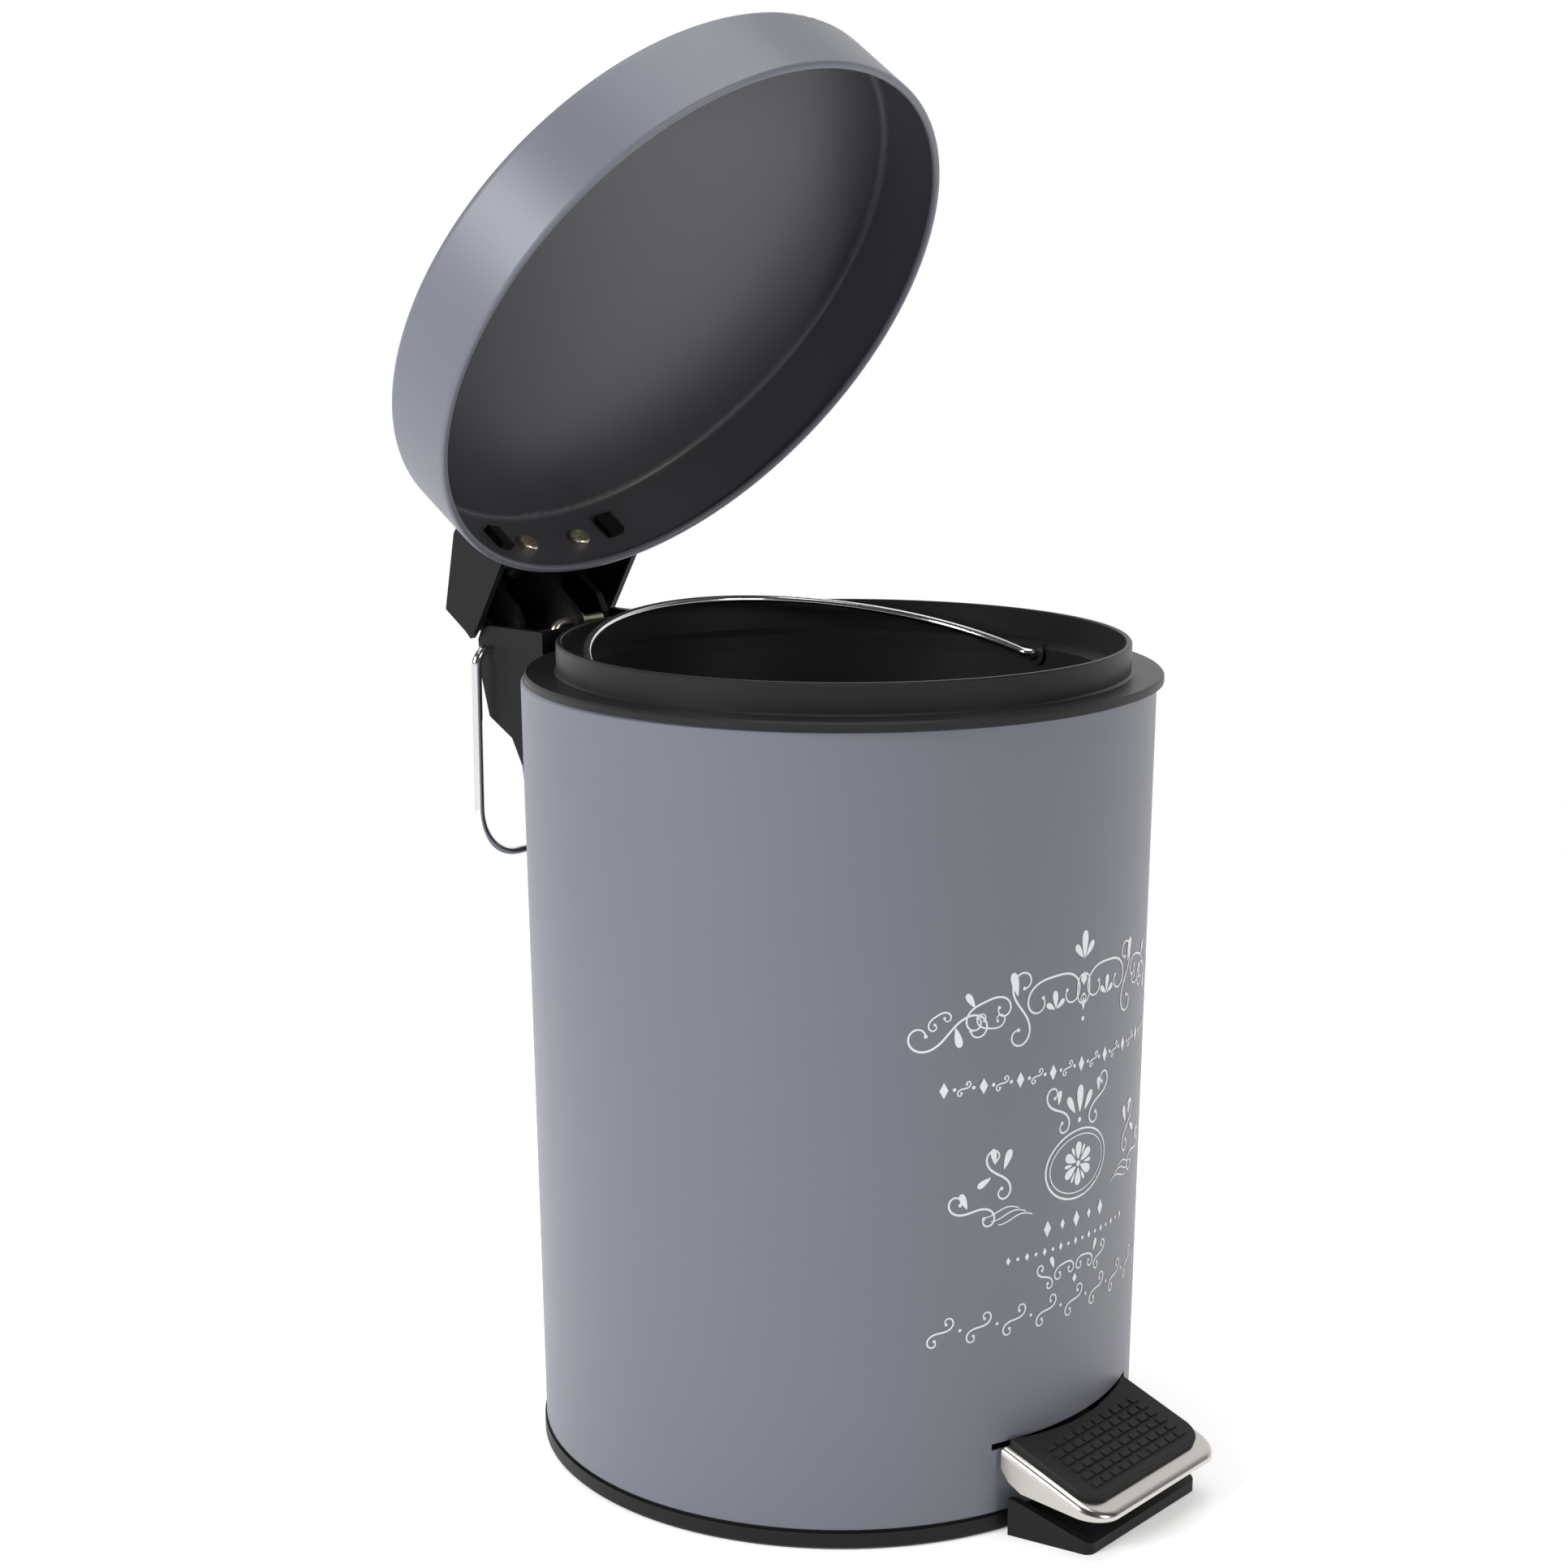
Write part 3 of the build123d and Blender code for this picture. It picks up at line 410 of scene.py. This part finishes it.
# %% Sheet
class Sheet:
    """Flat drawing in millimetres: u runs round the drum, z is the height above the floor."""

    def __init__(self):
        self.lines, self.fills = [], []

    def line(self, points, width, ends=True):
        self.lines.append((points, width))
        if ends:
            self.fill(dot(points[0], 0.85 * width), dot(points[-1], 0.85 * width))

    def scroll(self, u, z, heading, length, turn, same_side=False, width=0.6):
        self.line(scroll((u, z), heading, length, turn, same_side), width)

    def fill(self, *shapes):
        self.fills.extend(shapes)

    def mark(self):
        return len(self.lines), len(self.fills)

    def mirror(self, mark):
        """Repeat all that came after the mark, left for right."""
        self.lines += [([(-u, z) for u, z in points], width) for points, width in self.lines[mark[0]:]]
        self.fills += [[(-u, z) for u, z in shape][::-1] for shape in self.fills[mark[1]:]]


    def leaves(self, rows):
        """Leaves from (u, z, heading, length) rows, each as wide as its length asks for."""
        for u, z, heading, size in rows:
            self.fill(leaf((u, z), heading, size, 0.25 * size + 0.5))


art = Sheet()

# %% [markdown]
# The crest spans a hundred millimetres. Each scroll is its middle, heading, length, how far the ends
# turn in radians, whether they turn to the same side, and its width.

# %% Crest
half = art.mark()
art.scroll(11.0, 146.6, -3, 43, -5.4, True)
art.scroll(21.8, 139.8, 52, 37, 5.5)
art.scroll(32.4, 143.2, -18, 31, -5.6, True, 0.55)
art.scroll(42.2, 136.0, -48, 41, 5.5)
art.scroll(31.0, 136.2, 8, 19, 5.6, True, 0.45)
art.scroll(45.4, 140.8, -30, 15, -5.4, True, 0.45)
art.scroll(2.5, 141.4, 90, 17, 4.6, True, 0.45)
art.leaves(((23.0, 143.4, 76, 6.4), (10.4, 138.2, 84, 4.6), (10.8, 138.0, 30, 3.4), (10.2, 138.0, 142, 3.4),
            (40.4, 137.4, -104, 5.4), (35.2, 142.0, 58, 4.4), (0.6, 149.6, 50, 4.8)))
art.mirror(half)
art.fill(leaf((0, 149.2), 90, 7.4, 2.3), lozenge((0, 144.0), 1.8, 4.0))
art.fill(lozenge((0, 137.4), 1.5, 3.6), dot((0, 133.4), 0.6))

# %% [markdown]
# A border of lozenges with a small curl and two dots between each pair keeps the crest apart from
# what is below it.

# %% Upper border
PITCH = 10.8
UPPER_Z = 121.4
for place in range(-4, 5):
    art.fill(lozenge((place * PITCH, UPPER_Z), 2.4, 4.2))
for place in range(-4, 4):
    art.scroll((place + 0.5) * PITCH, UPPER_Z, 4, 8.6, 5.2, False, 0.42)
    art.fill(*[dot((place * PITCH + offset, UPPER_Z), 0.5) for offset in (2.8, 8.0)])

# %% [markdown]
# Under the border a palmette stands over an oval medallion with a rosette, and a spray of scrolls
# and leaves fills the space on each side.

# %% Palmette, medallion and sprays
MEDALLION_Z = 94.6
half = art.mark()
art.scroll(8.4, 110.6, 22, 27, 5.5)
art.fill(leaf((2.0, 108.6), 58, 5.6, 1.9), leaf((8.4, 112.2), 96, 3.8, 1.4))
art.scroll(27.5, 97.4, 30, 27, 5.5)
art.scroll(35.0, 88.6, -12, 28, 5.5)
art.leaves(((26.0, 98.6, 112, 5.4), (28.6, 100.2, 80, 4.4), (29.8, 97.0, -30, 4.4), (36.4, 89.6, 66, 4.6)))
for row in range(3):
    ripple = [(16.6 + 2.2 * row + 0.9 * t, 84.9 + 1.3 * row + 0.9 * math.sin(0.42 * t)) for t in range(13)]
    art.line(ripple, 0.38, ends=False)
art.mirror(half)
art.fill(leaf((0, 108.4), 90, 7.4, 2.4), dot((0, 106.4), 0.7), dot((0, MEDALLION_Z), 0.8))


def on_oval(wide, tall, degrees):
    """Point of an oval round the medallion's middle."""
    return wide * math.cos(math.radians(degrees)), MEDALLION_Z + tall * math.sin(math.radians(degrees))


for wide, tall, width in ((12.4, 9.2, 0.6), (10.9, 7.7, 0.35)):
    art.line([on_oval(wide, tall, degrees) for degrees in range(0, 365, 5)], width, ends=False)
for first, away, length, width in ((30, 1.1, 4.8, 2.2), (0, 2.4, 3.0, 0.9)):
    for heading in range(first, first + 360, 60):
        art.fill(leaf(on_oval(away, away, heading), heading, length, width))

# %% [markdown]
# Two short rows of lozenges and dots and a small scrolled piece lead down to the running border,
# which repeats one curl at the same pitch as the upper border.

# %% Lower rows and running border
RUNNING_Z = 57.4
for place in range(-2, 3):
    art.fill(lozenge((place * 5.6, 79.6), 2.6 - 0.9 * (place % 2), 4.6 - 1.6 * (place % 2)))
for place in range(-8, 9):
    art.fill(dot((3 * place, 73.6), 0.5) if place % 2 else lozenge((3 * place, 73.6), 1.4, 2.2))
half = art.mark()
art.scroll(4.6, 68.6, -8, 18, -5.5, True, 0.5)
art.scroll(11.6, 66.6, 14, 15.5, 5.4, False, 0.5)
art.fill(leaf((8.4, 68.4), 70, 3.4, 1.3))
art.mirror(half)
art.fill(lozenge((0, 63.4), 1.9, 2.6))
for place in range(-4, 5):
    art.scroll(place * PITCH, RUNNING_Z, 6, 18, 5.5, False, 0.5)
for place in range(-4, 4):
    art.fill(dot(((place + 0.5) * PITCH, RUNNING_Z), 0.45))
print("print:", len(art.lines), "strokes and", len(art.fills), "solid shapes")

# %% [markdown]
# The sheet is then wrapped onto the drum. The drum is slightly conical, so its radius is measured
# from the frame at two heights. The sheet's middle sits three degrees left of the pedal, where the
# screen printer happened to place it.

# %% Wrap the sheet onto the drum
INK_PROUD = 0.06                    # mm from the steel
PRINT_TURN = math.radians(-2.8)
PRINT_Z = 100                       # height at which u is a true length
END_THINNING = 0.33                 # of a stroke's width


def drum_radius():
    """Outer radius of the drum as (radius at the foot, growth per mm of height), in mm."""
    low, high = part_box("body_shell")
    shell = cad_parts["body_shell"]
    corners = [shell.matrix_world @ vertex.co for vertex in shell.data.vertices]
    foot = max(math.hypot(c.x, c.y) for c in corners if c.z < low[2] + 1 * MM)
    mouth = max(math.hypot(c.x, c.y) for c in corners if c.z > high[2] - 1 * MM)
    print("drum radius, mm: foot", round(foot / MM, 2), "mouth", round(mouth / MM, 2))
    return foot / MM, (mouth - foot) / (high[2] - low[2]), low[2] / MM


FOOT_R, GROWTH, FOOT_Z = drum_radius()
MEAN_R = FOOT_R + GROWTH * (PRINT_Z - FOOT_Z)


def on_drum(u, z):
    radius = FOOT_R + GROWTH * (z - FOOT_Z) + INK_PROUD
    angle = PRINT_TURN + u / MEAN_R
    return Vector((radius * math.sin(angle), -radius * math.cos(angle), z)) * MM


def ribbon(mesh, points, width):
    """Strip along a line, a third narrower at its ends."""
    last = len(points) - 1
    edge = []
    for index, (u, z) in enumerate(points):
        before, after = points[max(index - 1, 0)], points[min(index + 1, last)]
        du, dz = after[0] - before[0], after[1] - before[1]
        size = math.hypot(du, dz) or 1
        spread = width / 2 * (1 - END_THINNING * (2 * index / last - 1) ** 2)
        edge.append([mesh.verts.new(on_drum(u - side * dz / size * spread, z + side * du / size * spread))
                     for side in (1, -1)])
    for (a, b), (c, d) in zip(edge, edge[1:]):
        mesh.faces.new((a, b, d, c))


def patch(mesh, shape):
    """Solid shape as a fan of triangles round its middle."""
    middle = [sum(values) / len(shape) for values in zip(*shape)]
    rim = [mesh.verts.new(on_drum(*point)) for point in shape]
    hub = mesh.verts.new(on_drum(*middle))
    for first, second in zip(rim, rim[1:] + rim[:1]):
        mesh.faces.new((hub, first, second))


def printed_ornament(sheet):
    """The whole print as one piece that moves with the can."""
    mesh = bmesh.new()
    for points, width in sheet.lines:
        ribbon(mesh, points, width)
    for shape in sheet.fills:
        patch(mesh, shape)
    bmesh.ops.recalc_face_normals(mesh, faces=mesh.faces)
    data = bpy.data.meshes.new("printed_ornament")
    mesh.to_mesh(data)
    mesh.free()
    piece = bpy.data.objects.new("printed_ornament", data)
    bpy.context.scene.collection.objects.link(piece)
    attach(piece, "can")


printed_ornament(art)

# %% [markdown]
# Screen ink is matt and never perfectly opaque: a fine noise lets a little of the grey through.

# %% Ink
def screen_ink():
    ink = Finish("screen_ink")
    thin = ink.noise(900, 3.0, 0.6)
    return ink.set(Base_Color=ink.tint(thin, (0.62, 0.64, 0.68), (0.80, 0.82, 0.86)),
                   Roughness=0.55 + 0.1 * thin, Normal=ink.bump(thin, 0.00002, 0.4))


dress(screen_ink(), "printed_ornament")

# %% [markdown]
# ## The floor's finish
# Pale paper that glows very faintly, so that no hard shadow forms, and that fades out with distance
# into the white of the room: no horizon line is left.

# %% Floor finish
FADE_START, FADE_END = 0.25, 0.9     # metres from the bin
GLOW = 0.38


def pale_floor():
    paper = Finish("pale_floor")
    tone = paper.noise(3, 2.0)
    away = paper.add("ShaderNodeVectorMath", {"operation": "LENGTH"}, {0: paper.place()}, 1)
    near = paper.add("ShaderNodeMapRange", {"interpolation_type": "SMOOTHSTEP"},
                     {"Value": away, "From Min": FADE_START, "From Max": FADE_END,
                      "To Min": 1.0, "To Max": 0.0})
    return paper.set(Base_Color=paper.tint(tone, (0.90, 0.90, 0.90), (0.92, 0.92, 0.92)), Roughness=0.8,
                     Emission_Color=(1, 1, 1, 1), Emission_Strength=GLOW, Alpha=near)


floor.data.materials.append(pale_floor().material)
